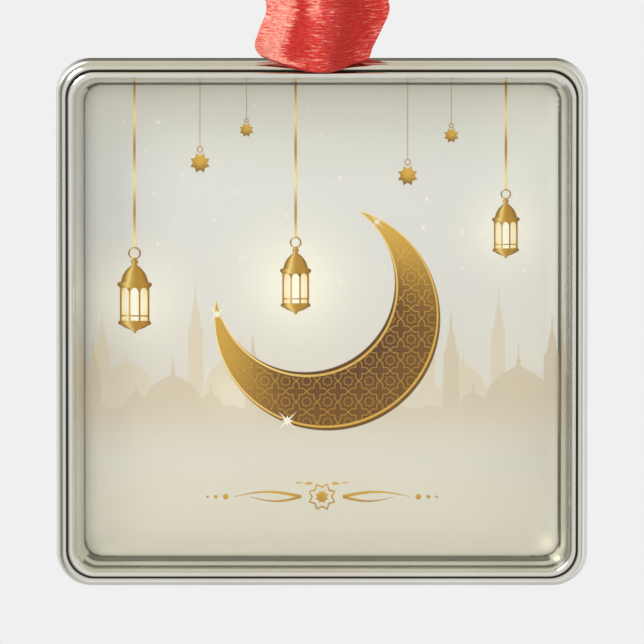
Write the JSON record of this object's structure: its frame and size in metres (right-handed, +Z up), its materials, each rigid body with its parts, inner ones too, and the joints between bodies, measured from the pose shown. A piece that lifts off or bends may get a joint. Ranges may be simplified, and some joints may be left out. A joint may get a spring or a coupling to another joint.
{
  "type": "square hanging ornament",
  "caption": "Flat square ornament: stepped polished metal frame round a domed print under clear film, hung from a wire loop on a knotted red satin ribbon.",
  "frame": {"origin": "the hanging point, between the ribbon's two strands just under the knot", "axes": "+Z up along the hanging ribbon, -Y towards the viewer of the picture, +X to the picture's right"},
  "size_m": [0.0584, 0.0142, 0.1531],
  "materials": {
    "plated_metal": "polished plating",
    "sheet_steel": "fine brushed",
    "clear_film": "clear gloss film",
    "printed_paper": "coated print",
    "satin_ribbon": "satin weave"
  },
  "bodies": {
    "ribbon": {"ribbon_front_strand": "satin_ribbon", "ribbon_back_strand": "satin_ribbon", "ribbon_knot": "satin_ribbon", "ribbon_tail_left": "satin_ribbon", "ribbon_tail_right": "satin_ribbon"},
    "ornament": {"frame": "plated_metal", "hanging_loop": "plated_metal", "back_plate": "sheet_steel", "clear_cover": "clear_film", "printed_insert": "printed_paper", "dome_shell": "sheet_steel", "crimp_ring": "sheet_steel", "ribbon_fold": "satin_ribbon"}
  },
  "joints": [
    {"name": "ornament_swing", "type": "hinge", "parent": "ribbon", "child": "ornament", "pos_m": [0, 0, -0.065], "axis": [1, 0, 0], "range_deg": [-45, 45]}
  ]
}
